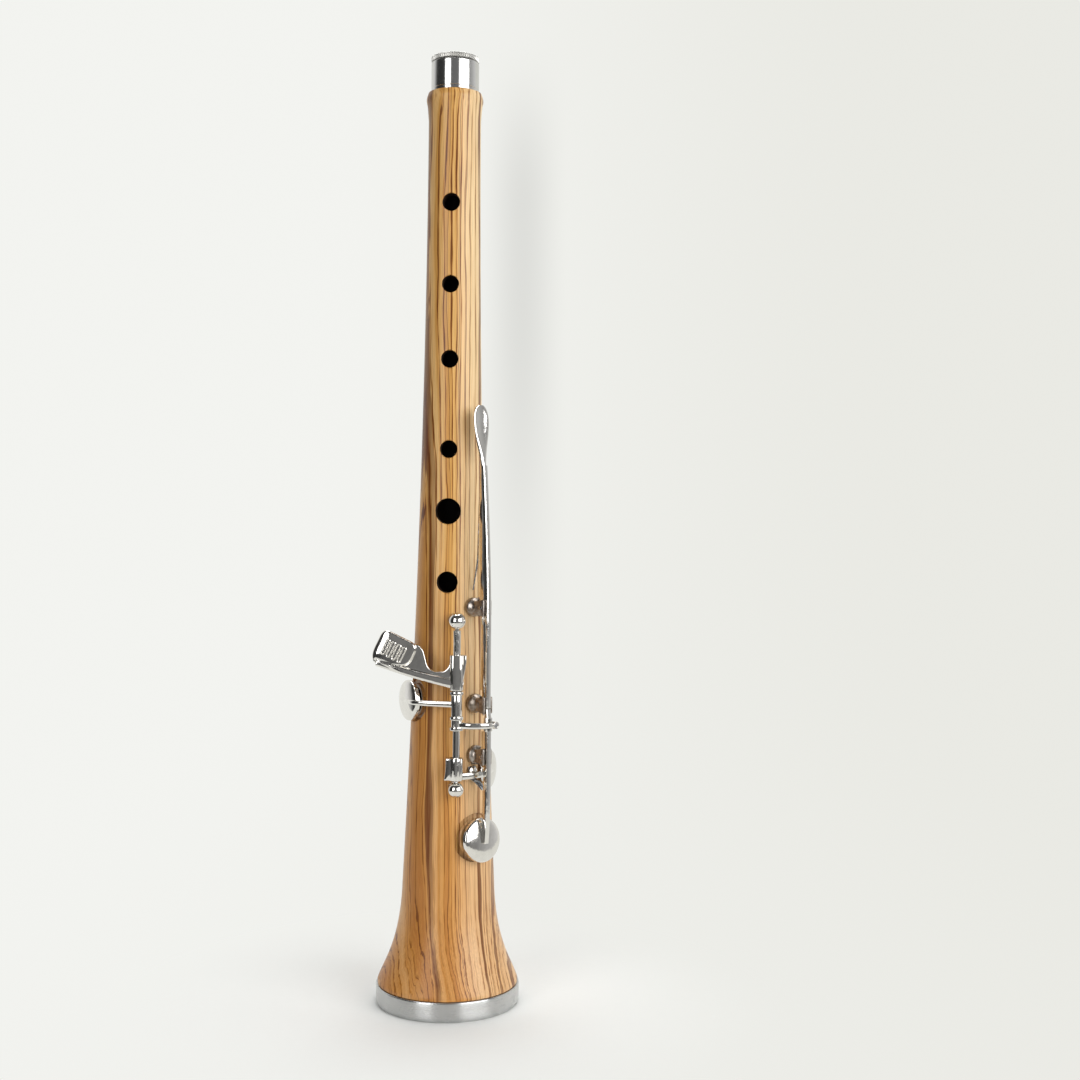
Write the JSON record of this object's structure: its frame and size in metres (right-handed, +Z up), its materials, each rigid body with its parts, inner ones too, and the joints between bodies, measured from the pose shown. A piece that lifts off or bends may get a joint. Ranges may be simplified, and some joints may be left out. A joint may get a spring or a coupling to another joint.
{
  "type": "keyed folk shawm",
  "caption": "Conical olive-wood shawm with flared bell, metal bell ring, knurled top ferrule and side keys: a little-finger key, a vent key and a two-part lever to a low padded cup.",
  "frame": {"origin": "centre of the bell ring's foot, in the plane the instrument stands on", "axes": "+Z up the bore to the reed end; -Y is where the six finger holes face; +X is the side of the two levers and the side cup"},
  "size_m": [0.0516, 0.0516, 0.34],
  "materials": {
    "olive_wood": "oiled olive wood, strong dark grain along the bore",
    "polished_metal": "mirror-polished plated nickel silver",
    "satin_metal": "turned and brushed nickel silver",
    "knurled_metal": "straight-knurled nickel silver",
    "screw_steel": "polished steel",
    "spring_steel": "blued-grey spring steel",
    "liner_brass": "drawn brass tube",
    "pad_leather": "dark brown pad leather"
  },
  "bodies": {
    "body": {"wooden_body": "olive_wood", "bell_ring": "satin_metal", "top_ferrule": "satin_metal", "socket_liner": "liner_brass", "upper_ball_post": "polished_metal", "lower_ball_post": "polished_metal", "upper_pivot_screw": "screw_steel", "lower_pivot_screw": "screw_steel", "long_lever_post": "polished_metal", "long_lever_pin": "screw_steel", "guide_post": "polished_metal", "low_lever_post": "polished_metal", "low_lever_pin": "screw_steel", "spring_stud": "polished_metal", "low_lever_spring": "spring_steel"},
    "tuning_ring": {"tuning_ring": "knurled_metal"},
    "little_finger_key": {"key_rod": "screw_steel", "little_finger_touch": "polished_metal", "touch_pin": "screw_steel", "side_cup_arm": "polished_metal", "arm_pin": "screw_steel", "side_pad": "pad_leather", "touch_spring": "spring_steel"},
    "vent_key": {"vent_key": "polished_metal", "link_screw": "screw_steel", "vent_pad": "pad_leather", "vent_spring": "spring_steel"},
    "long_lever": {"long_lever": "polished_metal", "long_lever_spring": "spring_steel"},
    "low_lever": {"low_lever": "polished_metal", "low_pad": "pad_leather"}
  },
  "joints": [
    {"name": "tuning_ring_turn", "type": "hinge", "parent": "body", "child": "tuning_ring", "pos_m": [0, 0, 0.339], "axis": [0, 0, 1], "continuous": true},
    {"name": "little_finger_hinge", "type": "hinge", "parent": "body", "child": "little_finger_key", "pos_m": [0.00444, -0.01837, 0.1085], "axis": [0, 0, -1], "range_deg": [0, 8.5], "stiffness_Nm_per_rad": 0.03, "springref_deg": -20.05, "deforming": ["touch_spring"]},
    {"name": "long_lever_pivot", "type": "hinge", "parent": "body", "child": "long_lever", "pos_m": [0.01346, -0.01394, 0.1424], "axis": [-0.7193, -0.6947, 0], "range_deg": [0, 2.54], "stiffness_Nm_per_rad": 0.06, "springref_deg": -34.38, "deforming": ["long_lever_spring"]},
    {"name": "low_lever_pivot", "type": "hinge", "parent": "body", "child": "low_lever", "pos_m": [0.01396, -0.01446, 0.0903], "axis": [0.7193, 0.6947, 0], "range_deg": [0, 5.9], "stiffness_Nm_per_rad": 0.03, "springref_deg": -22.92, "deforming": ["low_lever_spring"]},
    {"name": "vent_hinge", "type": "hinge", "parent": "body", "child": "vent_key", "pos_m": [0.00444, -0.01837, 0.1067], "axis": [0, 0, -1], "range_deg": [0, 6.4], "stiffness_Nm_per_rad": 0.02, "springref_deg": -20.05, "deforming": ["vent_spring"]}
  ],
  "couplings": [
    {"joint": "low_lever_pivot", "follows": "long_lever_pivot", "ratio": 2.3228},
    {"joint": "vent_hinge", "follows": "long_lever_pivot", "ratio": 2.5196}
  ]
}
